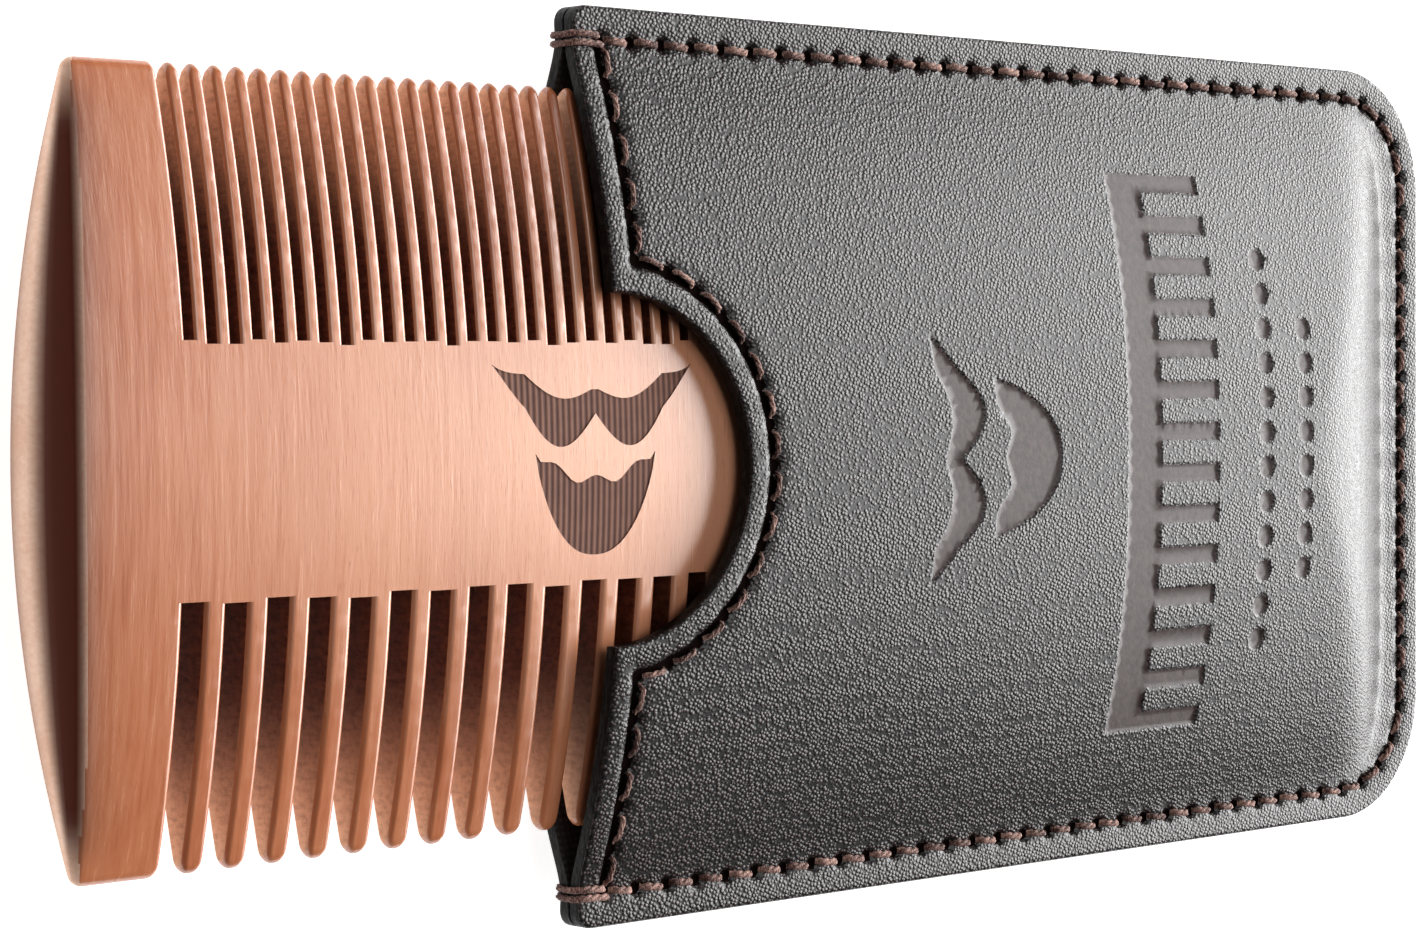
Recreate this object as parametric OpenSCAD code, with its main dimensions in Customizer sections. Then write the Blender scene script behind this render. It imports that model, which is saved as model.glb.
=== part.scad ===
// Double-sided pocket beard comb in a stitched leather sleeve.
// X runs from the sleeve's open mouth to its closed end, Y towards the comb's fine teeth, Z up.
// The origin is the centre of the flat face that the sleeve rests on.

/* [Sleeve] */
// Length from the mouth to the closed end
sleeve_l = 113; // [110:0.5:120]
// Width across the two stitched sides
sleeve_w = 75; // [73:0.5:80]
// Radius of the two corners at the closed end
corner_r = 12; // [10:0.5:14]
// Radius of the thumb notch in the front panel
notch_r = 14.2; // [10:0.1:16]
// Width of the flat margin in which the two panels are sewn together
margin = 3.9; // [3.6:0.1:4.2]
// Height of the pocket above the seam plane
front_rise = 5.6; // [5.4:0.1:7]
// Depth of the pocket below the seam plane
back_rise = 4.9; // [4.9:0.1:6]
// Width of the flat band that the sleeve rests on
rest_w = 24; // [16:1:30]

/* [Panel layers] */
// Thickness of the outer leather
cover_t = 0.55; // [0.4:0.05:0.8]
// Thickness of the stiffener board
core_t = 0.45; // [0.3:0.05:0.6]
// Thickness of the lining
lining_t = 0.35; // [0.2:0.05:0.5]

/* [Stitching] */
// Length of one stitch from hole to hole
pitch = 3.36; // [3:0.02:4]
// Distance of the perimeter seam from the panel's edge
perimeter_inset = 2.8; // [2.6:0.1:3]
// Distance of the mouth seam from the mouth and from the notch
mouth_inset = 2.8; // [2.4:0.1:3.2]
// Diameter of the thread
thread_d = 0.7; // [0.5:0.05:0.9]

/* [Comb] */
// Length of the comb at the middle of its curved ends
comb_l = 99.6; // [97:0.2:101]
// Width from the fine tips to the coarse tips
comb_w = 60; // [58:0.5:61]
// Thickness at the middle of the spine
comb_t = 9.2; // [8.6:0.1:9.2]
// Thickness of the tooth tips
tip_t = 1.1; // [0.9:0.1:1.4]
// Distance that each end bulges past its corners
end_bulge = 3.5; // [1:0.05:4]
// Distance from the comb's centre line to the roots of the fine teeth
fine_root = 9.4; // [8:0.1:12]
// Distance from the comb's centre line to the roots of the coarse teeth
coarse_root = 9.7; // [8:0.1:12]
// Distance between neighbouring fine teeth
fine_pitch = 2.02; // [1.8:0.01:2.02]
// Distance between neighbouring coarse teeth
coarse_pitch = 3.82; // [3.4:0.01:3.85]
// Width of a gap between fine teeth
fine_gap = 0.86; // [0.7:0.02:1]
// Width of a gap between coarse teeth
coarse_gap = 1.9; // [1.6:0.05:2.1]

/* [Fit] */
// Length of comb that shows outside the mouth
comb_out = 50.5; // [40:0.1:55]
// Sideways place of the comb in the pocket, towards the fine teeth
comb_shift = 0.8; // [0:0.1:1]

/* [Hidden] */
$fn = 64;
eps = 0.01;

fine_gaps = 39;
coarse_gaps = 21;

panel_t = cover_t + core_t + lining_t;
seam_z = back_rise + panel_t;
mouth_x = -sleeve_l / 2;
half_w = sleeve_w / 2;
pocket_half_w = half_w - margin;
pocket_l = sleeve_l - 6.5;
front_taper = 18;
back_taper = 12;
side_power = 2.3;
back_power = 1.9;
steps = 16;

// Inner height of the pocket above and below the seam plane, across the sleeve
function front_side(y) = front_rise * (1 - pow(min(abs(y) / pocket_half_w, 1), side_power));
function back_slope(y) = min(max(abs(y) - rest_w / 2, 0) / (pocket_half_w - rest_w / 2), 1);
function back_side(y) = back_rise * (1 - pow(back_slope(y), back_power));

// Inner height of the pocket along the sleeve, x counted from the mouth
function end_height(x, rise, taper) =
    rise * (1 - pow(min(max(x - (pocket_l - taper), 0) / taper, 1), side_power));
function front_inner(x, y) = min(front_side(y), end_height(x, front_rise, front_taper));
function back_inner(x, y) = min(back_side(y), end_height(x, back_rise, back_taper));

// Even steps from the middle of the pocket to its edge
function side_steps(from) = [for (i = [0 : steps]) from + (pocket_half_w - from) * i / steps];
function end_steps(taper) = [for (i = [0 : steps]) pocket_l - taper + taper * i / steps];

// ---- panels -------------------------------------------------------------------------------------

module sleeve_outline() {
    square_l = sleeve_l - corner_r;
    translate([0, -half_w]) square([square_l, sleeve_w]);
    translate([square_l - eps, -half_w + corner_r]) square([corner_r + eps, sleeve_w - 2 * corner_r]);
    for (side = [-1, 1])
        translate([square_l, side * (half_w - corner_r)]) circle(r = corner_r, $fn = 96);
}

// Region below the front panel's surface that lies "lift" above the pocket, from the seam plane up
module front_body(lift) {
    across = side_steps(0);
    along = end_steps(front_taper);
    intersection() {
        rotate([90, 0, 90])
            linear_extrude(sleeve_l)
                polygon(concat(
                    [[half_w + 1, 0], [half_w + 1, lift]],
                    [for (i = [steps : -1 : 0]) [across[i], front_side(across[i]) + lift]],
                    [for (i = [1 : steps]) [-across[i], front_side(across[i]) + lift]],
                    [[-half_w - 1, lift], [-half_w - 1, 0]]));
        translate([0, half_w + 1, 0])
            rotate([90, 0, 0])
                linear_extrude(sleeve_w + 2)
                    polygon(concat(
                        [[0, 0], [0, front_rise + lift]],
                        [for (x = along) [x, end_height(x, front_rise, front_taper) + lift]],
                        [[sleeve_l, lift], [sleeve_l, 0]]));
    }
}

// The same region for the back panel, from the seam plane down
module back_body(lift) {
    across = side_steps(rest_w / 2);
    along = end_steps(back_taper);
    intersection() {
        rotate([90, 0, 90])
            linear_extrude(sleeve_l)
                polygon(concat(
                    [[half_w + 1, 0], [half_w + 1, -lift]],
                    [for (i = [steps : -1 : 0]) [across[i], -back_side(across[i]) - lift]],
                    [for (i = [0 : steps]) [-across[i], -back_side(across[i]) - lift]],
                    [[-half_w - 1, -lift], [-half_w - 1, 0]]));
        translate([0, half_w + 1, 0])
            rotate([90, 0, 0])
                linear_extrude(sleeve_w + 2)
                    polygon(concat(
                        [[0, 0], [0, -back_rise - lift]],
                        [for (x = along) [x, -end_height(x, back_rise, back_taper) - lift]],
                        [[sleeve_l, -lift], [sleeve_l, 0]]));
    }
}

// One layer of the front panel, cut to the outline and notched for the thumb
module front_layer(from, thickness) {
    translate([mouth_x, 0, seam_z])
        difference() {
            intersection() {
                front_body(from + thickness);
                linear_extrude(front_rise + panel_t + 1) sleeve_outline();
            }
            if (from > 0) front_body(from);
            else pocket_above();
            cylinder(r = notch_r, h = 2 * (front_rise + panel_t), center = true, $fn = 96);
        }
}

module back_layer(from, thickness) {
    translate([mouth_x, 0, seam_z])
        difference() {
            intersection() {
                back_body(from + thickness);
                translate([0, 0, -back_rise - panel_t - 1])
                    linear_extrude(back_rise + panel_t + 1) sleeve_outline();
            }
            if (from > 0) back_body(from);
            else pocket_below();
        }
}

// The hollow between the linings, closed to nothing at the margins
module pocket_above() {
    translate([0, 0, -eps])
        intersection() {
            front_body(eps);
            translate([-1, -pocket_half_w, 0]) cube([pocket_l + 1, 2 * pocket_half_w, front_rise + 1]);
        }
}

module pocket_below() {
    translate([0, 0, eps])
        intersection() {
            back_body(eps);
            translate([-1, -pocket_half_w, -back_rise - 1])
                cube([pocket_l + 1, 2 * pocket_half_w, back_rise + 1]);
        }
}

module front_cover() {
    color([0.27, 0.24, 0.24]) front_layer(lining_t + core_t, cover_t);
}

module front_core() {
    color([0.45, 0.38, 0.30]) front_layer(lining_t, core_t);
}

module front_lining() {
    color([0.10, 0.09, 0.09]) front_layer(0, lining_t);
}

module back_cover() {
    color([0.27, 0.24, 0.24]) back_layer(lining_t + core_t, cover_t);
}

module back_core() {
    color([0.45, 0.38, 0.30]) back_layer(lining_t, core_t);
}

module back_lining() {
    color([0.10, 0.09, 0.09]) back_layer(0, lining_t);
}

// ---- stitching ----------------------------------------------------------------------------------

// A straight length of thread between two points
module thread(a, b, d) {
    run = b - a;
    length = norm(run);
    translate(a)
        rotate([0, acos(run.z / length), atan2(run.y, run.x)])
            cylinder(d = d, h = length, $fn = 16);
}

// A row of separate stitches along a list of holes, each with a short gap at its ends
module stitches(holes, d) {
    hole_gap = 0.1;
    for (i = [0 : len(holes) - 2]) {
        a = holes[i];
        b = holes[i + 1];
        thread(a + (b - a) * hole_gap, b - (b - a) * hole_gap, d);
    }
}

// Perimeter seam: three runs and two corner arcs, measured from the mouth at the fine-tooth side
seam_y = half_w - perimeter_inset;
seam_r = corner_r - perimeter_inset;
side_run = sleeve_l - corner_r;
arc_run = seam_r * PI / 2;
end_run = sleeve_w - 2 * corner_r;
seam_length = 2 * side_run + 2 * arc_run + end_run;

function arc_point(s, centre_y, start) =
    let (angle = start - s / seam_r * 180 / PI)
    [side_run + seam_r * cos(angle), centre_y + seam_r * sin(angle)];

function perimeter_point(s) =
    let (s2 = s - side_run, s3 = s2 - arc_run, s4 = s3 - end_run, s5 = s4 - arc_run)
    s2 < 0 ? [s, seam_y] :
    s3 < 0 ? arc_point(s2, half_w - corner_r, 90) :
    s4 < 0 ? [sleeve_l - perimeter_inset, half_w - corner_r - s3] :
    s5 < 0 ? arc_point(s4, corner_r - half_w, 0) :
    [side_run - s5, -seam_y];

perimeter_count = round((seam_length - 2 * perimeter_inset) / pitch);
perimeter_holes = [for (i = [0 : perimeter_count])
    perimeter_point(perimeter_inset + (seam_length - 2 * perimeter_inset) * i / perimeter_count)];

// The back-tack that wraps over the mouth's edge where the seam starts and ends
module mouth_wrap(side, height) {
    edge = [-thread_d / 2, side * seam_y, height];
    thread(edge, [perimeter_inset, side * seam_y, height], thread_d);
    thread([edge.x, edge.y, 0], edge, thread_d);
}

module perimeter_top_thread() {
    color([0.43, 0.27, 0.24])
        translate([mouth_x, 0, seam_z]) {
            stitches([for (p = perimeter_holes) [p.x, p.y, panel_t]], thread_d);
            for (side = [-1, 1]) mouth_wrap(side, panel_t);
        }
}

module perimeter_bobbin_thread() {
    color([0.43, 0.27, 0.24])
        translate([mouth_x, 0, seam_z]) {
            stitches([for (p = perimeter_holes) [p.x, p.y, -panel_t]], thread_d);
            for (side = [-1, 1]) mouth_wrap(side, -panel_t);
        }
}

// Mouth seam: straight beside the mouth, then round the notch
mouth_arc_r = notch_r + mouth_inset;
mouth_arc_angle = acos(mouth_inset / mouth_arc_r);
mouth_corner_y = mouth_arc_r * sin(mouth_arc_angle);
mouth_side_count = round((seam_y - mouth_corner_y) / pitch);
mouth_arc_count = round(mouth_arc_r * mouth_arc_angle * PI / 90 / pitch);

function mouth_side_holes(side) = [for (i = [0 : mouth_side_count])
    [mouth_inset, side * (mouth_corner_y + (seam_y - mouth_corner_y) * i / mouth_side_count)]];
mouth_arc_holes = [for (i = [0 : mouth_arc_count])
    let (angle = mouth_arc_angle * (1 - 2 * i / mouth_arc_count))
    [mouth_arc_r * cos(angle), mouth_arc_r * sin(angle)]];

function on_front(p, lift) = [p.x, p.y, front_inner(p.x, p.y) + lift];

module mouth_top_thread() {
    color([0.43, 0.27, 0.24])
        translate([mouth_x, 0, seam_z]) {
            stitches([for (p = mouth_arc_holes) on_front(p, panel_t)], thread_d);
            for (side = [-1, 1])
                stitches([for (p = mouth_side_holes(side)) on_front(p, panel_t)], thread_d);
        }
}

// Inside the pocket the thread is pulled into the lining, and it ends short of the glued margin
module mouth_bobbin_thread() {
    sunk = 0.15;
    color([0.43, 0.27, 0.24])
        translate([mouth_x, 0, seam_z]) {
            stitches([for (p = mouth_arc_holes) on_front(p, sunk)], 2 * lining_t);
            for (side = [-1, 1])
                stitches([for (i = [0 : mouth_side_count - 1]) on_front(mouth_side_holes(side)[i], sunk)],
                         2 * lining_t);
        }
}

// ---- comb ---------------------------------------------------------------------------------------

module comb_outline() {
    end_r = (pow(comb_w / 2, 2) + pow(end_bulge, 2)) / (2 * end_bulge);
    intersection() {
        square([comb_l + 2, comb_w], center = true);
        translate([end_r - comb_l / 2, 0]) circle(r = end_r, $fn = 360);
        translate([comb_l / 2 - end_r, 0]) circle(r = end_r, $fn = 360);
    }
}

// A row of straight saw cuts from the root line out past the tips
module saw_cuts(count, spacing, gap, root) {
    depth = comb_w / 2 - root + 1;
    for (i = [0 : count - 1])
        translate([(i - (count - 1) / 2) * spacing - gap / 2, root, -comb_t])
            cube([gap, depth, 2 * comb_t]);
}

module comb() {
    rise = (comb_t - tip_t) / 2;
    face_r = (pow(comb_w / 2, 2) + pow(rise, 2)) / (2 * rise);
    color([0.80, 0.53, 0.40])
        translate([mouth_x - comb_out + comb_l / 2, comb_shift, seam_z])
            difference() {
                intersection() {
                    translate([0, 0, -comb_t]) linear_extrude(2 * comb_t) comb_outline();
                    face_bar(1, face_r);
                    face_bar(-1, face_r);
                }
                saw_cuts(fine_gaps, fine_pitch, fine_gap, fine_root);
                mirror([0, 1, 0]) saw_cuts(coarse_gaps, coarse_pitch, coarse_gap, coarse_root);
            }
}

// The round bar whose surface is the comb's upper or lower face
module face_bar(side, face_r) {
    translate([0, 0, side * (comb_t / 2 - face_r)])
        rotate([0, 90, 0])
            cylinder(r = face_r, h = comb_l + 2, center = true, $fn = 360);
}

comb();
front_cover();
front_core();
front_lining();
back_cover();
back_core();
back_lining();
perimeter_top_thread();
perimeter_bobbin_thread();
mouth_top_thread();
mouth_bobbin_thread();
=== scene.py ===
"""A double-sided wooden beard comb, half out of its stitched leather sleeve.

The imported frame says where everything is, and each class here builds one sub-assembly around it. Inside the
classes lengths are millimetres, and make_piece turns them into metres. Sleeve outlines are laid out flat from
the middle of the mouth, with x towards the closed end, and are moved into the frame as they are made.
"""

import logging
import math
from collections.abc import Iterable, Sequence
from dataclasses import dataclass, field
from enum import Enum

import bpy
import numpy as np
from mathutils import Matrix, Vector
from mathutils.geometry import delaunay_2d_cdt


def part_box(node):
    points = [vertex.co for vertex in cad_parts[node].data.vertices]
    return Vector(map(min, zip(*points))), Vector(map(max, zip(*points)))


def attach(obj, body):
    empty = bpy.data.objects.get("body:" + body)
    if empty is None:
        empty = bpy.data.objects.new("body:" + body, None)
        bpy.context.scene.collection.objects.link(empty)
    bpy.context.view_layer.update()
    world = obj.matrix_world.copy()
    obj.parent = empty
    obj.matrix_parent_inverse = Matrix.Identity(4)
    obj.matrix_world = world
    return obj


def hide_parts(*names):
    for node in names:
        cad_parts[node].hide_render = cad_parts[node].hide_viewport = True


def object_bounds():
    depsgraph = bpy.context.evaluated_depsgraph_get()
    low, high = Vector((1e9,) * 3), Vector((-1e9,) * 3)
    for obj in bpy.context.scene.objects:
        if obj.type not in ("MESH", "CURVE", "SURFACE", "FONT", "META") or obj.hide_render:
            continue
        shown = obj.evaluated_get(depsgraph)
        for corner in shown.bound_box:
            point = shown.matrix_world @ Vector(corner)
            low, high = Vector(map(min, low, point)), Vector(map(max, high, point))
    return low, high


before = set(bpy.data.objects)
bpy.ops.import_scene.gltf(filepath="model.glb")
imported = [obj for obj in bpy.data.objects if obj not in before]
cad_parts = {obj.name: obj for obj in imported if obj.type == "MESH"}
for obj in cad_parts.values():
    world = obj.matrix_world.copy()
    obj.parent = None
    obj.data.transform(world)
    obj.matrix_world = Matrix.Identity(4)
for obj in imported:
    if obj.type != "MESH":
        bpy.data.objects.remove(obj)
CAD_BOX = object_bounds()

MM = 0.001
LOG = logging.getLogger("beard_comb")

Array = np.ndarray
Colour = tuple[float, float, float]
Socket = bpy.types.NodeSocket
Material = bpy.types.Material
Piece = bpy.types.Object


class Body(Enum):
    """The two rigid bodies of the frame."""

    COMB = "comb"
    SLEEVE = "sleeve"


class Slot(Enum):
    """Material slots of the record."""

    WOOD = "comb_wood"
    LEATHER = "sleeve_leather"
    BOARD = "stiffener_board"
    LINING = "lining_fabric"
    THREAD = "thread"


class Side(Enum):
    """The two panels of the sleeve. The value is the direction in which each one faces."""

    FRONT = 1
    BACK = -1


def node_box(name: str) -> tuple[Array, Array]:
    """Gives the lowest and the highest corner of a CAD node at rest, in millimetres."""
    low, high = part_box(name)
    return np.array(low) / MM, np.array(high) / MM


# ---- plane geometry -----------------------------------------------------------------------------


def line(start: Sequence[float], end: Sequence[float], step: float) -> Array:
    """Gives even points along a straight line, without its last point.

    Args:
        start: First point, x and y.
        end: Last point, x and y.
        step: Longest distance between neighbouring points.

    Returns:
        The points, one row each.
    """
    first, last = np.array(start, float), np.array(end, float)
    count = max(int(math.ceil(np.linalg.norm(last - first) / step)), 1)
    return first + (last - first) * np.arange(count)[:, None] / count


def arc(centre: Sequence[float], radius: float, start: float, end: float, step: float) -> Array:
    """Gives even points along a circular arc, without its last point.

    Args:
        centre: Middle of the circle, x and y.
        radius: Radius of the arc.
        start: First angle in degrees.
        end: Last angle in degrees.
        step: Longest distance between neighbouring points.

    Returns:
        The points, one row each.
    """
    count = max(int(math.ceil(math.radians(abs(end - start)) * radius / step)), 3)
    turn = np.radians(start + (end - start) * np.arange(count) / count)
    return np.array(centre, float) + radius * np.column_stack([np.cos(turn), np.sin(turn)])


def ease(value: Array) -> Array:
    """Goes from 0 to 1 with level ends, and stays there outside that range."""
    t = np.clip(value, 0.0, 1.0)
    return t * t * (3.0 - 2.0 * t)


def inside_distance(points: Array, loop: Array) -> Array:
    """Measures how far points lie inside a closed loop.

    Args:
        points: The points, one row each.
        loop: Corners of the loop, one row each.

    Returns:
        The distance to the loop of each point, which is negative outside.
    """
    start, end = loop, np.roll(loop, -1, axis=0)
    best = np.full(len(points), np.inf)
    crossings = np.zeros(len(points), int)
    for a, b in zip(start, end):
        run = b - a
        along = np.clip(((points - a) @ run) / max(run @ run, 1e-12), 0, 1)
        best = np.minimum(best, np.hypot(*(points - a - along[:, None] * run).T))
        crosses = (a[1] > points[:, 1]) != (b[1] > points[:, 1])
        rise = run[1] if abs(run[1]) > 1e-12 else 1e-12
        reach = a[0] + (points[:, 1] - a[1]) * run[0] / rise
        crossings += crosses & (points[:, 0] < reach)
    return np.where(crossings % 2 == 1, best, -best)


def grown(loop: Array, amount: float) -> Array:
    """Moves a loop's points sideways, outwards for a loop that runs anticlockwise."""
    run = np.roll(loop, -1, axis=0) - np.roll(loop, 1, axis=0)
    normal = np.column_stack([run[:, 1], -run[:, 0]])
    return loop + amount * normal / np.maximum(np.hypot(*normal.T), 1e-9)[:, None]


def refined(loop: Array, step: float) -> Array:
    """Adds points along a closed loop so that none are further apart than a step."""
    return np.vstack([line(a, b, step) for a, b in zip(loop, np.roll(loop, -1, axis=0))])


# ---- emblems ------------------------------------------------------------------------------------


def moustache(width: float) -> Array:
    """Draws a curled moustache about the origin, anticlockwise, with its tips turned up."""
    t = np.linspace(0.0, 1.0, 30)
    middle = width * (0.035 - 0.080 * np.sin(math.pi * np.minimum(t * 1.45, 1.0)) + 0.13 * t ** 3.2)
    thick = width * (0.026 + 0.078 * np.sin(math.pi * np.clip(t * 0.92 + 0.12, 0, 1))) * (1 - t ** 6)
    lower = np.column_stack([width / 2 * t, middle - thick * 1.05])
    upper = np.column_stack([width / 2 * t, middle + thick * 0.75])
    right = np.vstack([lower[:-1], upper[::-1]])
    left = right[::-1] * [-1, 1]
    return np.vstack([right[:-1], left[1:-1]])


def beard(width: float, height: float) -> Array:
    """Draws a full pointed beard, anticlockwise, whose hollow top fits under a moustache."""
    across = np.linspace(-1, 1, 41)
    lower = np.column_stack([width / 2 * across, -height * (1 - np.abs(across) ** 2.3) ** 0.75])
    back = np.linspace(1, -1, 25)[1:-1]
    hollow = -0.27 * height * (1 - back ** 2) + 0.05 * height * np.cos(math.pi * 3 * back)
    top = np.column_stack([width / 2 * back, hollow])
    return np.vstack([lower, top])


def comb_mark(length: float, height: float, teeth: int) -> Array:
    """Draws a plain one-sided comb, anticlockwise, with its teeth pointing down."""
    pitch = length / (teeth + 0.5)
    spine = height * 0.36
    points = []
    for i in range(teeth + 1):
        left = -length / 2 + i * pitch
        right = left + pitch * 0.5
        points += [(left, -spine if i else -height), (left, -height), (right, -height), (right, -spine)]
    del points[0]
    points[-1] = (length / 2, -spine)
    points[-2] = (length / 2, -height)
    return np.array(points + [(length / 2, 0.0), (-length / 2, 0.0)]) + [0, height / 2]


def bead_row(count: int, pitch: float, radius: float) -> list[Array]:
    """Draws a row of round beads along x, each one anticlockwise."""
    bead = arc((0, 0), radius, 0, 360, 0.35)
    return [bead + [(i - (count - 1) / 2) * pitch, 0] for i in range(count)]


# ---- materials ----------------------------------------------------------------------------------


class Shader:
    """Lays out the nodes of one procedural material."""

    def __init__(self, name: str, **surface: float | Colour) -> None:
        """Starts a material.

        Args:
            name: Name of the material.
            surface: Constant values on the surface shader, with spaces written as underscores.
        """
        self.material = bpy.data.materials.new(name)
        self.material.use_nodes = True
        self.tree = self.material.node_tree
        self.surface = self.tree.nodes["Principled BSDF"]
        for key, value in surface.items():
            socket = self.surface.inputs[key.replace("_", " ")]
            socket.default_value = (*value, 1.0) if isinstance(value, tuple) else value
        self.place = self.add("ShaderNodeTexCoord").outputs["Object"]

    def add(self, kind: str, links: dict | None = None, **settings) -> bpy.types.Node:
        """Adds a node.

        Args:
            kind: Blender's name of the node type.
            links: Values or output sockets for its inputs, by name or by number.
            settings: Properties of the node.

        Returns:
            The new node.
        """
        node = self.tree.nodes.new(kind)
        for key, value in settings.items():
            setattr(node, key, value)
        for key, value in (links or {}).items():
            if isinstance(value, Socket):
                self.tree.links.new(value, node.inputs[key])
            else:
                node.inputs[key].default_value = value
        return node

    def stretched(self, scale: Colour, turn: Colour = (0.0, 0.0, 0.0)) -> Socket:
        """Gives object coordinates stretched along each axis, in cells per metre."""
        links = {"Vector": self.place, "Scale": scale, "Rotation": turn}
        return self.add("ShaderNodeMapping", links).outputs[0]

    def spot(self, centre: Colour, reach: Colour) -> Socket:
        """Gives 1 at a point, falling off to 0 at a reach along each axis."""
        place = self.stretched(tuple(1 / r for r in reach))
        place.node.inputs["Location"].default_value = [-c / r for c, r in zip(centre, reach)]
        return self.add("ShaderNodeTexGradient", {"Vector": place}, gradient_type="SPHERICAL").outputs["Fac"]

    def noise(self, scale: Colour, detail: float = 2.0, rough: float = 0.5) -> Socket:
        """Gives noise from 0 to 1 with cells of a size of its own along each axis."""
        links = {"Vector": self.stretched(scale), "Scale": 1.0, "Detail": detail, "Roughness": rough}
        return self.add("ShaderNodeTexNoise", links).outputs["Fac"]

    def ramp(self, value: Socket, *stops: tuple[float, Colour]) -> Socket:
        """Turns a value into a colour by a list of stops."""
        node = self.add("ShaderNodeValToRGB", {"Fac": value})
        while len(node.color_ramp.elements) < len(stops):
            node.color_ramp.elements.new(0.5)
        for element, (position, colour) in zip(node.color_ramp.elements, stops):
            element.position = position
            element.color = (*colour, 1.0)
        return node.outputs["Color"]

    def span(self, value: Socket, low: float, high: float, to: tuple[float, float] = (0.0, 1.0)) -> Socket:
        """Stretches the range from low to high onto another range, and clips it."""
        links = {"Value": value, "From Min": low, "From Max": high, "To Min": to[0], "To Max": to[1]}
        return self.add("ShaderNodeMapRange", links).outputs[0]

    def mix(self, factor: Socket, first: Socket | Colour, second: Socket | Colour) -> Socket:
        """Mixes two colours, each a socket or three numbers."""
        node = self.add("ShaderNodeMix", data_type="RGBA")
        for index, value in ((0, factor), (6, first), (7, second)):
            if isinstance(value, Socket):
                self.tree.links.new(value, node.inputs[index])
            else:
                node.inputs[index].default_value = (*value, 1.0) if isinstance(value, tuple) else value
        return node.outputs[2]

    def plus(self, first: Socket, second: Socket) -> Socket:
        """Adds two values."""
        return self.add("ShaderNodeMath", {0: first, 1: second}, operation="ADD").outputs[0]

    def times(self, first: Socket, second: Socket | float) -> Socket:
        """Multiplies two values."""
        return self.add("ShaderNodeMath", {0: first, 1: second}, operation="MULTIPLY").outputs[0]

    def shared(self, first: Socket, share: float, second: Socket) -> Socket:
        """Gives a share of one value and the rest of another."""
        return self.plus(self.times(first, share), self.times(second, 1 - share))

    def attribute(self, name: str) -> Socket:
        """Reads a value that the mesh carries at its points."""
        return self.add("ShaderNodeAttribute", attribute_name=name).outputs["Fac"]

    def bump(self, height: Socket, depth: float, under: Socket | None = None):
        """Raises the surface by a height from 0 to 1 times a depth in metres."""
        links = {"Height": height, "Distance": depth, "Strength": 1.0}
        if under is not None:
            links["Normal"] = under
        return self.add("ShaderNodeBump", links).outputs["Normal"]

    def finish(self, **sockets: Socket) -> Material:
        """Links sockets to the surface shader and gives the material."""
        for key, socket in sockets.items():
            self.tree.links.new(socket, self.surface.inputs[key.replace("_", " ")])
        return self.material


@dataclass(frozen=True)
class CombWood:
    """Close-grained orange-brown wood, with a painted highlight that pales it round the middle of the spine.
    It reads the mesh's values of painted shade along the end ridges.
    """

    centre: Colour

    light: Colour = (0.55, 0.203, 0.092)
    middle: Colour = (0.48, 0.156, 0.066)
    dark: Colour = (0.36, 0.098, 0.040)
    # Colour of the painted highlight round the middle of the spine, and its reach along each axis in metres.
    painted_highlight: Colour = (0.86, 0.43, 0.26)
    highlight_reach: Colour = (0.050, 0.022, 1.0)
    bands: Colour = (95, 22, 95)
    streaks: Colour = (2300, 95, 900)
    pores: Colour = (6800, 520, 5200)
    pore_relief: float = 0.000009
    streak_relief: float = 0.000008
    # Colour of the painted shade along the end ridges.
    painted_ridge_shade: Colour = (0.060, 0.012, 0.005)
    roughness: tuple[float, float] = (0.20, 0.28)

    def make(self) -> Material:
        """Gives the material of the polished faces."""
        s = Shader("comb_wood", Specular_IOR_Level=1.0)
        broad = s.noise(self.bands, 3.0)
        streak = s.noise(self.streaks, 3.0, 0.6)
        pore = s.noise(self.pores, 2.0, 0.7)
        tone = s.shared(broad, 0.55, streak)
        colour = s.ramp(tone, (0.32, self.dark), (0.48, self.middle), (0.64, self.light))
        # Painted highlight: the wood is paled in a broad patch round the middle of the comb.
        colour = s.mix(s.span(s.spot(self.centre, self.highlight_reach), 0.0, 0.9, (0.0, 0.8)), colour, self.painted_highlight)
        colour = s.mix(s.span(pore, 0.58, 0.74, (0.0, 0.40)), colour, self.dark)
        # Painted shade along the end ridges, taken from the mesh's values.
        colour = s.mix(s.span(s.attribute("oil"), 0.0, 1.0, (0.0, 0.92)), colour, self.painted_ridge_shade)
        dull = s.span(s.attribute("oil"), 0.0, 1.0, (0.0, 0.08))
        rough = s.plus(s.span(streak, 0.3, 0.7, self.roughness), dull)
        normal = s.bump(pore, self.pore_relief, s.bump(streak, self.streak_relief))
        return s.finish(Base_Color=colour, Roughness=rough, Normal=normal)


@dataclass(frozen=True)
class EndGrain:
    """The comb's bowed ends, matt, with painted shade that darkens them along the upper ridges. It reads the
    mesh's values of that painted shade.
    """

    light: Colour = (0.95, 0.66, 0.51)
    dark: Colour = (0.84, 0.52, 0.37)
    # Colour of the painted shade along the upper ridges.
    painted_ridge_shade: Colour = (0.072, 0.014, 0.006)
    pores: Colour = (2600, 2600, 1300)
    patches: Colour = (180, 180, 180)
    relief: float = 0.00003

    def make(self) -> Material:
        """Gives the material of both ends."""
        s = Shader("end_grain", Roughness=0.60, Specular_IOR_Level=0.10)
        pore = s.noise(self.pores, 3.0, 0.6)
        broad = s.noise(self.patches)
        tone = s.shared(pore, 0.5, broad)
        colour = s.ramp(tone, (0.38, self.dark), (0.60, self.light))
        # Painted shade along the upper ridges of the ends.
        colour = s.mix(s.attribute("oil"), colour, self.painted_ridge_shade)
        return s.finish(Base_Color=colour, Normal=s.bump(pore, self.relief))


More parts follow.
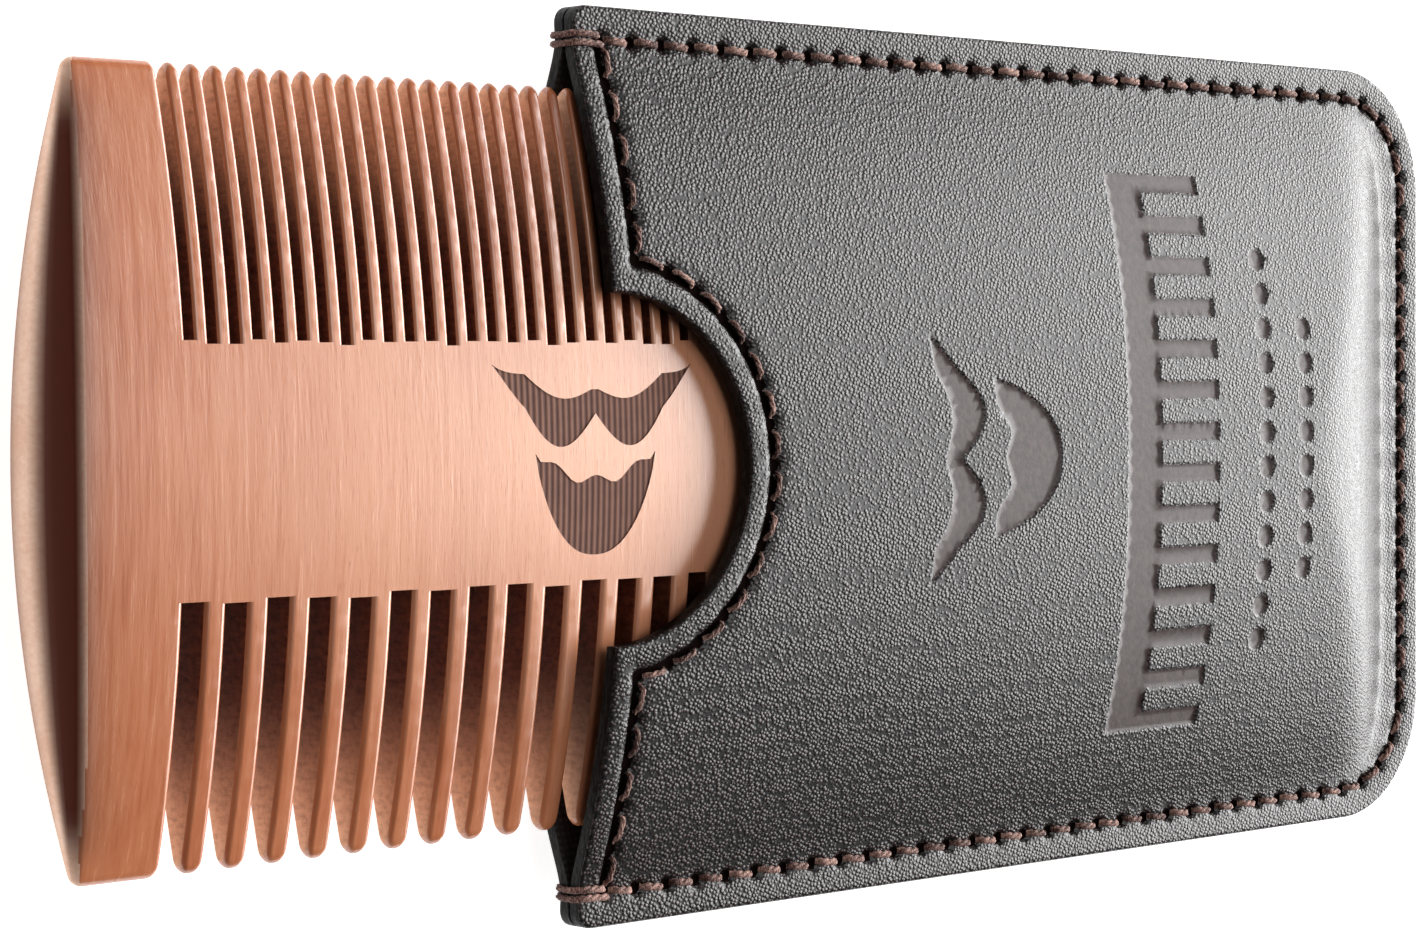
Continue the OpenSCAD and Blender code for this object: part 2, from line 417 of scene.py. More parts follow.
@dataclass(frozen=True)
class SawnWood:
    """The wood's inner faces, darker than the polished faces, and pale with dust towards the tips."""

    light: Colour = (0.72, 0.41, 0.26)
    middle: Colour = (0.28, 0.085, 0.042)
    dark: Colour = (0.095, 0.022, 0.011)
    saw_marks: Colour = (600, 2600, 700)
    dust_grains: Colour = (1900, 1900, 1900)
    relief: float = 0.00012

    def make(self) -> Material:
        """Gives the material of the gaps between the teeth."""
        s = Shader("sawn_wood", Roughness=0.72, Specular_IOR_Level=0.25)
        marks = s.noise(self.saw_marks, 4.0, 0.65)
        dust = s.noise(self.dust_grains, 3.0, 0.6)
        tone = s.shared(marks, 0.5, dust)
        colour = s.ramp(tone, (0.34, self.dark), (0.64, self.middle))
        dusty = s.times(s.attribute("dust"), s.span(tone, 0.36, 0.56, (0.62, 1.0)))
        colour = s.mix(dusty, colour, self.light)
        return s.finish(Base_Color=colour, Normal=s.bump(tone, self.relief))


@dataclass(frozen=True)
class BurntWood:
    """The laser-burnt mark, a close hatch of dark lines."""

    char: Colour = (0.085, 0.032, 0.022)
    ridge: Colour = (0.23, 0.105, 0.07)
    hatch_scale: float = 523.81
    soot_grains: Colour = (900, 900, 900)
    relief: float = 0.00004

    def make(self) -> Material:
        """Gives the material of the mark."""
        s = Shader("burnt_wood", Roughness=0.7, Specular_IOR_Level=0.25)
        waves = {"Vector": s.stretched((1.0, 0.0, 0.0)), "Scale": self.hatch_scale, "Distortion": 0.4,
                 "Detail": 2.0, "Detail Scale": 3.0}
        lines = s.add("ShaderNodeTexWave", waves, bands_direction="X").outputs["Fac"]
        soot = s.noise(self.soot_grains, 3.0, 0.6)
        tone = s.shared(lines, 0.6, soot)
        colour = s.ramp(tone, (0.25, self.char), (0.80, self.ridge))
        return s.finish(Base_Color=colour, Normal=s.bump(lines, self.relief))


@dataclass(frozen=True)
class PebbleLeather:
    """Dark brown leather with a fine pebble grain under a clear top coat, and painted shade that makes the
    creases between the pebbles near black.
    """

    light: Colour = (0.042, 0.024, 0.021)
    dark: Colour = (0.003, 0.002, 0.002)
    pebbles: Colour = (2501, 3050, 2745)
    turn: Colour = (0.0, 0.0, 0.45)
    bends: Colour = (500, 500, 500)
    creases: Colour = (420, 420, 420)
    patches: Colour = (60, 60, 60)
    roughness: tuple[float, float] = (0.67, 0.42)
    relief: float = 0.00012
    coat_relief: float = 0.000028

    def make(self) -> Material:
        """Gives the material of both covers."""
        s = Shader("pebble_leather", Specular_IOR_Level=0.15, Coat_Weight=0.55, Coat_Roughness=0.20,
                   Coat_IOR=1.5)
        links = {"Vector": s.stretched(self.bends), "Scale": 1.0, "Detail": 1.0}
        bend = s.add("ShaderNodeTexNoise", links).outputs["Color"]
        turned = s.stretched(self.pebbles, self.turn)
        bent = s.add("ShaderNodeVectorMath", {0: turned, 1: bend}, operation="ADD").outputs[0]
        links = {"Vector": bent, "Scale": 1.0, "Randomness": 0.62}
        cells = s.add("ShaderNodeTexVoronoi", links).outputs["Distance"]
        pebble_height_and_shade = s.span(cells, 0.18, 0.62, (1.0, 0.0))
        # Painted shade: the creases between the pebbles are coloured near black, while the tops keep the
        # leather's brown.
        colour = s.mix(pebble_height_and_shade, self.dark, self.light)
        colour = s.mix(s.span(s.noise(self.patches), 0.35, 0.65, (0.0, 0.20)), colour, self.dark)
        height = s.plus(pebble_height_and_shade, s.times(s.noise(self.creases, 3.0, 0.6), 0.25))
        rough = s.span(pebble_height_and_shade, 0.0, 1.0, self.roughness)
        return s.finish(Base_Color=colour, Roughness=rough, Normal=s.bump(height, self.relief),
                        Coat_Normal=s.bump(height, self.coat_relief))


@dataclass(frozen=True)
class PressedLeather:
    """Leather that a hot stamp has pressed smooth and browned."""

    light: Colour = (0.060, 0.036, 0.032)
    dark: Colour = (0.030, 0.016, 0.014)
    spots: Colour = (1300, 1300, 1300)
    relief: float = 0.00003

    def make(self) -> Material:
        """Gives the material of the stamped marks."""
        s = Shader("pressed_leather", Specular_IOR_Level=0.25, Roughness=0.50, Coat_Weight=0.12,
                   Coat_Roughness=0.30)
        mottle = s.noise(self.spots, 3.0, 0.6)
        return s.finish(Base_Color=s.ramp(mottle, (0.35, self.dark), (0.65, self.light)),
                        Normal=s.bump(mottle, self.relief))


@dataclass(frozen=True)
class NeedleHoleShade:
    """Painted shade: a near-black colour for the unlit inside of the needle's holes and of the slit beside
    the mouth's thread.
    """

    colour: Colour = (0.004, 0.0015, 0.001)

    def make(self) -> Material:
        """Gives the painted shade of the holes."""
        return Shader("needle_hole_shade", Base_Color=self.colour, Roughness=1.0, Specular_IOR_Level=0.05).material


@dataclass(frozen=True)
class EdgePaint:
    """Black paint on the cut edges, thick and slightly lumpy."""

    colour: Colour = (0.004, 0.004, 0.004)
    fleck: Colour = (0.022, 0.022, 0.022)
    lumps: Colour = (900, 900, 1700)
    relief: float = 0.00022

    def make(self) -> Material:
        """Gives the material of the edges."""
        s = Shader("edge_paint", Roughness=0.40, Specular_IOR_Level=0.08)
        lumps = s.noise(self.lumps, 4.0, 0.65)
        colour = s.ramp(lumps, (0.45, self.colour), (0.75, self.fleck))
        return s.finish(Base_Color=colour, Normal=s.bump(lumps, self.relief))


@dataclass(frozen=True)
class PocketLining:
    """Black woven lining."""

    colour: Colour = (0.010, 0.009, 0.009)
    thread: Colour = (0.035, 0.032, 0.031)
    weave_scale: float = 571.43
    relief: float = 0.00006

    def make(self) -> Material:
        """Gives the material of both linings."""
        s = Shader("pocket_lining", Roughness=0.85, Specular_IOR_Level=0.2, Sheen_Weight=0.25)
        weave = []
        for direction in ("X", "Y"):
            links = {"Vector": s.place, "Scale": self.weave_scale, "Distortion": 0.2}
            weave.append(s.add("ShaderNodeTexWave", links, bands_direction=direction).outputs["Fac"])
        height = s.times(weave[0], weave[1])
        colour = s.mix(height, self.colour, self.thread)
        return s.finish(Base_Color=colour, Normal=s.bump(height, self.relief))


@dataclass(frozen=True)
class StiffBoard:
    """Brown fibre board."""

    light: Colour = (0.33, 0.24, 0.16)
    dark: Colour = (0.20, 0.14, 0.09)
    fibres: Colour = (1500, 700, 1500)
    relief: float = 0.00005

    def make(self) -> Material:
        """Gives the material of both cores."""
        s = Shader("stiff_board", Roughness=0.9, Specular_IOR_Level=0.2)
        fibre = s.noise(self.fibres, 4.0, 0.7)
        return s.finish(Base_Color=s.ramp(fibre, (0.35, self.dark), (0.65, self.light)),
                        Normal=s.bump(fibre, self.relief))


@dataclass(frozen=True)
class WaxedThread:
    """Red-brown twisted thread with loose fibres that catch the light."""

    light: Colour = (0.56, 0.33, 0.27)
    dark: Colour = (0.045, 0.012, 0.009)
    fibres: Colour = (9000, 2500, 9000)
    shades: Colour = (240, 240, 240)
    relief: float = 0.00010

    def make(self) -> Material:
        """Gives the material of the stitches."""
        s = Shader("waxed_thread", Roughness=0.55, Specular_IOR_Level=0.25, Sheen_Weight=0.25,
                   Sheen_Roughness=0.4, Sheen_Tint=(0.85, 0.62, 0.55))
        fibre = s.noise(self.fibres, 3.0, 0.6)
        shade = s.noise(self.shades)
        tone = s.shared(fibre, 0.6, shade)
        colour = s.ramp(tone, (0.43, self.dark), (0.60, self.light))
        return s.finish(Base_Color=colour, Normal=s.bump(fibre, self.relief))


@dataclass(frozen=True)
class StudioFloor:
    """Plain white table top, lit from below."""

    colour: Colour = (0.93, 0.93, 0.93)
    shade: Colour = (0.90, 0.90, 0.90)
    glow: float = 0.95
    clouds: Colour = (8, 8, 8)

    def make(self) -> Material:
        """Gives the material of the floor."""
        s = Shader("studio_floor", Roughness=0.8, Specular_IOR_Level=0.1, Emission_Color=self.colour,
                   Emission_Strength=self.glow)
        return s.finish(Base_Color=s.mix(s.noise(self.clouds), self.colour, self.shade))


# ---- the mesh workshop --------------------------------------------------------------------------


def make_piece(name: str, points: Array, faces: Iterable[Sequence[int]], finishes: Sequence[Material],
               which: Sequence[int] | None = None, sharp: float = 40.0) -> Piece:
    """Turns points and faces into a smooth-shaded piece.

    Args:
        name: Name of the piece.
        points: Corners in the frame, in millimetres.
        faces: Corner numbers of each face.
        finishes: Materials of the piece.
        which: For each face, the number of its material.
        sharp: Edges that turn by more degrees than this stay sharp.

    Returns:
        The new object.
    """
    mesh = bpy.data.meshes.new(name)
    mesh.from_pydata((np.asarray(points) * MM).tolist(), [], [list(map(int, f)) for f in faces])
    for finish in finishes:
        mesh.materials.append(finish)
    if which is not None:
        mesh.polygons.foreach_set("material_index", np.asarray(which, np.int32))
    mesh.polygons.foreach_set("use_smooth", np.ones(len(mesh.polygons), bool))
    mesh.set_sharp_from_angle(angle=math.radians(sharp))
    mesh.validate()
    piece = bpy.data.objects.new(name, mesh)
    bpy.context.scene.collection.objects.link(piece)
    return piece


def settle(piece: Piece) -> None:
    """Applies the modifiers of a piece to its mesh."""
    graph = bpy.context.evaluated_depsgraph_get()
    mesh = bpy.data.meshes.new_from_object(piece.evaluated_get(graph), depsgraph=graph)
    old = piece.data
    piece.modifiers.clear()
    piece.data = mesh
    mesh.name = old.name
    bpy.data.meshes.remove(old)


def cut(piece: Piece, tool: Piece) -> None:
    """Cuts one closed piece out of another and throws the tool away."""
    modifier = piece.modifiers.new("cut", "BOOLEAN")
    modifier.operation = "DIFFERENCE"
    modifier.solver = "MANIFOLD"
    modifier.object = tool
    bpy.context.view_layer.update()
    settle(piece)
    bpy.data.objects.remove(tool)


def loft(rings: Sequence[Array]) -> tuple[Array, list[list[int]]]:
    """Skins a row of closed rings that have equal numbers of points, and caps both ends.

    Args:
        rings: One array of 3-D points for each ring.

    Returns:
        The points, and the faces turned outwards.
    """
    size = len(rings[0])
    faces = []
    for k in range(len(rings) - 1):
        for i in range(size):
            j = (i + 1) % size
            faces.append([k * size + i, k * size + j, (k + 1) * size + j, (k + 1) * size + i])
    faces.append(list(range(size))[::-1])
    faces.append([(len(rings) - 1) * size + i for i in range(size)])
    points = np.vstack(rings)
    middle = points.mean(0)
    corners = points[np.array(faces[:-2])] - middle
    volume = np.einsum("ij,ij->i", corners[:, 0], np.cross(corners[:, 1], corners[:, 2])).sum()
    if volume < 0:
        faces = [face[::-1] for face in faces]
    return points, faces


class Heap:
    """Gathers several closed meshes into one piece."""

    def __init__(self) -> None:
        """Starts empty."""
        self.points: list[Array] = []
        self.faces: list[list[int]] = []
        self.count = 0

    def add(self, points: Array, faces: Iterable[Sequence[int]]) -> None:
        """Adds one mesh to the heap."""
        self.faces += [[i + self.count for i in face] for face in faces]
        self.points.append(points)
        self.count += len(points)

    def all_points(self) -> Array:
        """Gives every point in one array."""
        return np.vstack(self.points)


# ---- comb ---------------------------------------------------------------------------------------


@dataclass(frozen=True)
class TeethRow:
    """One row of teeth, as the saw cuts it."""

    direction: int
    gaps: int
    pitch: float
    gap: float
    root: float
    tip_length: float
    tip_round: float
    edge_round: float


@dataclass
class Comb:
    """The wooden comb, sawn from one board, with lens-shaped faces and rounded teeth."""

    end_bulge: float = 3.5
    end_sag: float = 0.33
    tip_thickness: float = 1.1
    ridge_round: float = 1.1
    corner_round: float = 0.8
    tip_round: float = 0.75
    tip_blunt: float = 0.985
    bow_power: float = 2.2
    root_wander: tuple[float, float] = (0.16, 0.10)
    # How far the painted shade reaches in from the end ridges.
    oil_reach: float = 1.5
    plain_end: float = 5.5
    dust_start: float = 15.0
    dust_run: float = 12.0
    mark_width: float = 21.0
    mark_depth: float = 0.09
    fine: TeethRow = TeethRow(1, 39, 2.02, 0.86, 9.4, 1.10, 0.50, 0.36)
    coarse: TeethRow = TeethRow(-1, 21, 3.82, 1.90, 9.7, 1.10, 0.86, 0.50)
    centre: Array = field(init=False)
    length: float = field(init=False)
    width: float = field(init=False)
    thickness: float = field(init=False)

    def __post_init__(self) -> None:
        """Takes the comb's place and overall sizes from the frame."""
        low, high = node_box("comb")
        self.centre = (low + high) / 2
        self.length, self.width, self.thickness = high - low

    def half_height(self, y: Array, lowered: float = 0.0) -> Array:
        """Gives half the thickness of the comb at a distance from its centre line."""
        half_w = self.width / 2
        rise = (self.thickness - self.tip_thickness) / 2
        radius = (half_w ** 2 + rise ** 2) / (2 * rise)
        height = self.thickness / 2 - radius + np.sqrt(radius ** 2 - np.minimum(y ** 2, half_w ** 2))
        past = np.clip((np.abs(y) - half_w + self.tip_round) / self.tip_round, 0.0, self.tip_blunt)
        return height * np.sqrt(1 - past ** 2) - lowered

    def half_length(self, y: Array) -> Array:
        """Gives half the length of the comb at a distance from its centre line."""
        half_w = self.width / 2
        radius = (half_w ** 2 + self.end_bulge ** 2) / (2 * self.end_bulge)
        reach = self.length / 2 - radius + np.sqrt(radius ** 2 - np.minimum(y ** 2, half_w ** 2))
        past = np.clip(np.abs(y) - half_w + self.corner_round, 0.0, self.corner_round)
        return reach - self.corner_round + np.sqrt(self.corner_round ** 2 - past ** 2)

    def stations(self) -> Array:
        """Gives the distances from the centre line at which the blank has a ring."""
        half_w = self.width / 2
        inner = np.linspace(0, half_w - self.corner_round, 30)
        outer = half_w - self.corner_round * (1 - np.sin(np.radians(np.linspace(10, 90, 11))))
        upper = np.concatenate([inner, outer])
        return np.concatenate([-upper[:0:-1], upper])

    def blank_ring(self, y: float, lowered: float = 0.0) -> Array:
        """Gives the cross-section of the blank, with bowed ends between rounded ridges."""
        height = float(self.half_height(np.array(y), lowered))
        reach = float(self.half_length(np.array(y)))
        radius = min(self.ridge_round, 0.7 * height)
        lean = math.atan(self.bow_power * self.end_sag)
        straight = height - radius * (1 - math.sin(lean))
        rise = np.linspace(0.06, 1, 7)
        face = np.column_stack([reach - self.end_sag * straight * rise ** self.bow_power, straight * rise])
        corner = np.linspace(lean, math.pi / 2, 6)[1:]
        middle_x = face[-1, 0] - radius * math.cos(lean)
        ridge = radius * np.column_stack([np.cos(corner), np.sin(corner)]) + [middle_x, height - radius]
        inward = np.array([0.4, 0.9, 1.6, 2.6, 4.0, 6.5])
        flat = np.column_stack([middle_x - inward, np.full(len(inward), height)])
        quarter = np.vstack([face, ridge, flat])
        quarter = np.column_stack([quarter[:, 0], np.full(len(quarter), y), quarter[:, 1]])
        top = np.vstack([quarter, quarter[::-1] * [-1, 1, 1]])
        return np.vstack([top, top[::-1] * [1, 1, -1]])

    def painted_ridge_shade(self, points: Array) -> Array:
        """Gives how much painted shade darkens the wood at each point, most of it along the upper end ridges.
        """
        height = self.half_height(points[:, 1])
        ridge = self.half_length(points[:, 1]) - self.end_sag * height
        level = np.maximum(points[:, 2], -0.5 * points[:, 2]) / np.maximum(height, 0.05)
        inward = np.clip(ridge - np.abs(points[:, 0]), 0, None)
        return ease(level / 0.52) * np.exp(-inward / self.oil_reach) * ease((height - 0.3) / 1.6)

    def blank(self, lowered: float = 0.0) -> tuple[Array, list[list[int]]]:
        """Gives the comb before any tooth is cut, its faces lowered by an amount."""
        return loft([self.blank_ring(y, lowered) for y in self.stations()])

    def gap_ring(self, row: TeethRow, y: float, x: float, half_gap: float) -> Array:
        """Gives the saw's cross-section, which flares where it leaves the wood to round the teeth.

        Args:
            row: The row of teeth.
            y: Distance from the comb's centre line.
            x: Place of the gap along the comb.
            half_gap: Half the width of the gap here.

        Returns:
            A closed ring of points.
        """
        height = float(self.half_height(np.array(min(y, self.width / 2))))
        radius = min(row.edge_round, 0.8 * height)
        turn = np.radians(np.linspace(0, 90, 5))
        out = half_gap + radius * (1 - np.cos(turn))
        up = height - radius + (radius + 0.004) * np.sin(turn)
        side = np.column_stack([np.append(out, out[-1]), np.append(up, self.thickness)])
        right = np.vstack([side[::-1] * [1, -1], side])
        outline = np.vstack([right, right[::-1] * [-1, 1]])
        return np.column_stack([x + outline[:, 0], np.full(len(outline), row.direction * y), outline[:, 1]])

    def saw(self, row: TeethRow) -> Piece:
        """Makes the tool that cuts one row of gaps, with roots that vary a little in depth."""
        half_w = self.width / 2
        heap = Heap()
        turn = np.radians(np.linspace(0, 90, 8))
        tips = half_w - row.tip_length + row.tip_length * np.sin(turn)
        flare = row.tip_round * (1 - np.cos(turn))
        for i in range(row.gaps):
            x = (i - (row.gaps - 1) / 2) * row.pitch
            slow, fast = self.root_wander
            root = row.root + slow * math.sin(i * 2.4 + row.direction) + fast * math.sin(i * 5.1)
            y = np.concatenate([np.linspace(root, half_w - row.tip_length, 14)[:-1], tips, [half_w + 1]])
            half = row.gap / 2 + np.concatenate([np.zeros(13), flare, flare[-1:]])
            rings = [self.gap_ring(row, a, x, b) for a, b in zip(y, half)]
            heap.add(*loft(rings))
        return make_piece("saw", heap.all_points() + self.centre, heap.faces, [])

    def mark_tool(self, outlines: Sequence[Array]) -> Piece:
        """Makes the tool that engraves outlines to an even depth below the upper face."""
        heap = Heap()
        for outline in outlines:
            rings = [np.column_stack([outline, np.full(len(outline), z)]) for z in (1.0, self.thickness)]
            heap.add(*loft(rings))
        tool = make_piece("mark", heap.all_points() + self.centre, heap.faces, [])
        points, faces = self.blank(self.mark_depth)
        cut(tool, make_piece("below_mark", points + self.centre, faces, []))
        return tool

    def mark(self) -> list[Array]:
        """Draws the moustache and beard that are burnt into the spine."""
        return [moustache(self.mark_width) + [0, 4.2], beard(self.mark_width * 0.60, 8.2) + [0, 0.6]]

    def dress(self, piece: Piece) -> None:
        """Gives each face its finish: polished, sawn, burnt or end grain."""
        mesh = piece.data
        mesh.materials.clear()
        for finish in (CombWood(tuple(self.centre * MM)), SawnWood(), BurntWood(), EndGrain()):
            mesh.materials.append(finish.make())
        centres = np.array([p.center for p in mesh.polygons]) / MM - self.centre
        normals = np.array([p.normal for p in mesh.polygons])
        depth = self.half_height(centres[:, 1]) - centres[:, 2]
        which = np.where(np.abs(normals[:, 0]) > 0.93, 1, 0)
        which[np.abs(centres[:, 0]) > self.length / 2 - self.end_bulge - self.plain_end] = 0
        for root, sign in ((self.fine.root, 1), (self.coarse.root, -1)):
            near = np.abs(centres[:, 1] * sign - root) < 0.5
            which[near & (np.abs(normals[:, 1]) > 0.9)] = 1
        low, high = np.vstack(self.mark()).min(0) - 0.1, np.vstack(self.mark()).max(0) + 0.1
        near = ((centres[:, :2] > low) & (centres[:, :2] < high)).all(axis=1)
        which[near & (depth > self.mark_depth * 0.2) & (depth < self.mark_depth * 1.5)] = 2
        height = self.half_height(centres[:, 1])
        ridge = self.half_length(centres[:, 1]) - self.end_sag * height
        over_ridge = 0.15 + 0.55 * self.ridge_round * ease((height - 1.0) / 2.2)
        which[np.abs(centres[:, 0]) > ridge - over_ridge] = 3
        mesh.polygons.foreach_set("material_index", which.astype(np.int32))
        points = np.array([v.co for v in mesh.vertices]) / MM - self.centre
        dust = ease((np.abs(points[:, 1]) - self.dust_start) / self.dust_run)
        # The first values are painted shade along the upper end ridges; the second pale the gap walls with
        # dust towards the tips.
        for name, value in (("oil", self.painted_ridge_shade(points)), ("dust", dust)):
            mesh.attributes.new(name, "FLOAT", "POINT").data.foreach_set("value", value.astype(np.float32))

    def build(self) -> list[Piece]:
        """Makes the comb and puts it on its body."""
        points, faces = self.blank()
        piece = make_piece("wooden_comb", points + self.centre, faces, [])
        for row in (self.fine, self.coarse):
            cut(piece, self.saw(row))
        cut(piece, self.mark_tool(self.mark()))
        piece.data.polygons.foreach_set("use_smooth", np.ones(len(piece.data.polygons), bool))
        piece.data.set_sharp_from_angle(angle=math.radians(38))
        piece.modifiers.new("even_normals", "WEIGHTED_NORMAL").keep_sharp = True
        settle(piece)
        self.dress(piece)
        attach(piece, Body.COMB.value)
        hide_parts("comb")
        return [piece]


# ---- sleeve form --------------------------------------------------------------------------------


@dataclass
class SleeveForm:
    """The shape that all layers of the sleeve share."""

    corner_round: float = 12.0
    mouth_round: float = 1.3
    notch: float = 14.2
    margin: float = 3.9
    end_margin: float = 6.5
    front_taper: float = 18.0
    back_taper: float = 12.0
    rest_half: float = 12.0
    seam_inset: float = 2.8
    front_power: float = 2.3
    back_power: float = 1.9
    corner_power: float = 3.0
    softness: float = 0.30
    mouth_x: float = field(init=False)
    seam_z: float = field(init=False)
    length: float = field(init=False)
    half_width: float = field(init=False)
    panel: float = field(init=False)
    rise: dict[Side, float] = field(init=False)
    layers: dict[str, tuple[float, float]] = field(init=False)

    def __post_init__(self) -> None:
        """Takes the sleeve's place and overall sizes from the frame."""
        low, high = node_box("front_cover")
        lining_low, _ = node_box("front_lining")
        back_low, back_high = node_box("back_cover")
        self.mouth_x = low[0]
        self.length = high[0] - low[0]
        self.half_width = (high[1] - low[1]) / 2
        self.seam_z = lining_low[2]
        lining_top = node_box("front_core")[0][2]
        self.panel = self.seam_z - back_high[2] + (high[2] - node_box("front_core")[1][2])
        self.rise = {Side.FRONT: high[2] - self.seam_z - self.panel,
                     Side.BACK: self.seam_z - back_low[2] - self.panel}
        self.layers = {"lining": (0.0, lining_top - self.seam_z),
                       "core": (lining_top - self.seam_z, self.seam_z - back_high[2]),
                       "cover": (self.seam_z - back_high[2], self.panel)}

    def pocket(self, x: Array, y: Array, side: Side) -> Array:
        """Gives the pocket's inner height away from the seam plane, rounded into the margin."""
        flat, power, taper = 0.0, self.front_power, self.front_taper
        if side is Side.BACK:
            flat, power, taper = self.rest_half, self.back_power, self.back_taper
        across = np.maximum(np.abs(y) - flat, 0) / (self.half_width - self.margin - flat)
        along = np.maximum(x - (self.length - self.end_margin - taper), 0) / taper
        blend = self.corner_power
        both = (across ** (blend * power) + along ** (blend * self.front_power)) ** (1 / blend)
        raw = self.rise[side] * (1 - both)
        rounded = 0.5 * (raw + np.sqrt(raw ** 2 + self.softness ** 2))
        return np.where(raw > 2.5, raw, np.where(raw < -0.6, 0.0, rounded))

    def edge_distance(self, points: Array, notched: bool) -> Array:
        """Measures how far points lie inside the panel's outline."""
        x, y = points[:, 0], np.abs(points[:, 1])
        inside = np.minimum(np.minimum(x, self.length - x), self.half_width - y)
        for centre_x, radius, sign in ((self.length - self.corner_round, self.corner_round, 1),
                                       (self.mouth_round, self.mouth_round, -1)):
            centre_y = self.half_width - radius
            corner = ((x - centre_x) * sign > 0) & (y > centre_y)
            inside = np.where(corner, radius - np.hypot(x - centre_x, y - centre_y), inside)
        if notched:
            inside = np.minimum(inside, np.hypot(x, y) - self.notch)
        return inside

    def ring(self, inset: float, step: float, notched: bool) -> Array:
        """Draws the panel's outline, moved inwards.

        Args:
            inset: How far the outline is moved in.
            step: Longest distance between neighbouring points.
            notched: Whether the panel has the thumb notch.

        Returns:
            A closed loop of points, clockwise from the mouth.
        """
        half = self.half_width
        small = max(self.mouth_round - inset, 0.0)
        corner_x, corner_y = self.length - self.corner_round, half - self.corner_round
        big = self.corner_round - inset
        reach = self.notch + inset
        start_y = math.sqrt(reach ** 2 - inset ** 2) if notched else 0.0
        side_y = half - inset
        parts = [line((inset, start_y), (inset, side_y - small), step)]
        if small > 0:
            parts.append(arc((inset + small, side_y - small), small, 180, 90, min(step, 0.3)))
        parts.append(line((inset + small, side_y), (corner_x, side_y), step))
        parts.append(arc((corner_x, corner_y), big, 90, 0, step))
        parts.append(line((self.length - inset, corner_y), (self.length - inset, -corner_y), step))
        parts.append(arc((corner_x, -corner_y), big, 0, -90, step))
        parts.append(line((corner_x, -side_y), (inset + small, -side_y), step))
        if small > 0:
            parts.append(arc((inset + small, -side_y + small), small, -90, -180, min(step, 0.3)))
        parts.append(line((inset, -side_y + small), (inset, -start_y), step))
        if notched:
            swing = math.degrees(math.acos(inset / reach))
            parts.append(arc((0, 0), reach, -swing, swing, step))
        return np.vstack(parts)

    def placed(self, points: Array, heights: Array) -> Array:
        """Moves flat points and their heights above the seam plane into the frame."""
        return np.column_stack([points[:, 0] + self.mouth_x, points[:, 1], heights + self.seam_z])


# ---- stitching ----------------------------------------------------------------------------------


@dataclass
class Seams:
    """Where the two seams run and where their holes are."""

    form: SleeveForm
    pitch: float = 3.36

    def perimeter(self) -> Array:
        """Gives the holes of the seam along three sides, with the direction at each hole."""
        form, inset = self.form, self.form.seam_inset
        seam_y, radius = form.half_width - inset, form.corner_round - inset
        run = form.length - form.corner_round
        quarter = radius * math.pi / 2
        end = 2 * (form.half_width - form.corner_round)
        total = 2 * run + 2 * quarter + end
        count = round((total - 2 * inset) / self.pitch)
        places = inset + (total - 2 * inset) * np.arange(count + 1) / count
        return np.array([self.along(s, run, quarter, end, seam_y, radius) for s in places])

    @staticmethod
    def on_corner(centre_x: float, centre_y: float, radius: float, turn: float) -> list[float]:
        """Gives the place and direction at an angle of a corner that the seam rounds clockwise."""
        x, y = math.cos(turn), math.sin(turn)
        return [centre_x + radius * x, centre_y + radius * y, y, -x]

    def along(self, s: float, run: float, quarter: float, end: float, seam_y: float,
              radius: float) -> list[float]:
        """Gives the place and direction at a distance along the perimeter seam."""
        form = self.form
        corner_y = form.half_width - form.corner_round
        if s < run:
            return [s, seam_y, 1, 0]
        s -= run
        if s < quarter:
            return self.on_corner(run, corner_y, radius, math.pi / 2 - s / radius)
        s -= quarter
        if s < end:
            return [form.length - form.seam_inset, corner_y - s, 0, -1]
        s -= end
        if s < quarter:
            return self.on_corner(run, -corner_y, radius, -s / radius)
        return [run - (s - quarter), -seam_y, -1, 0]

    def mouth_rows(self) -> list[Array]:
        """Gives the holes of the seam beside the mouth and round the notch, one row for each stretch."""
        form, inset = self.form, self.form.seam_inset
        reach = form.notch + inset
        swing = math.acos(inset / reach)
        corner_y = reach * math.sin(swing)
        side_y = form.half_width - inset
        side_count = round((side_y - corner_y) / self.pitch)
        arc_count = round(2 * reach * swing / self.pitch)
        rows = []
        for sign in (1, -1):
            y = sign * (corner_y + (side_y - corner_y) * np.arange(side_count + 1) / side_count)
            rows.append(np.column_stack([np.full(len(y), inset), y, np.zeros(len(y)), np.full(len(y), sign)]))
        turn = swing * (1 - 2 * np.arange(arc_count + 1) / arc_count)
        x, y = np.cos(turn), np.sin(turn)
        rows.append(np.column_stack([reach * x, reach * y, y, -x]))
        return rows


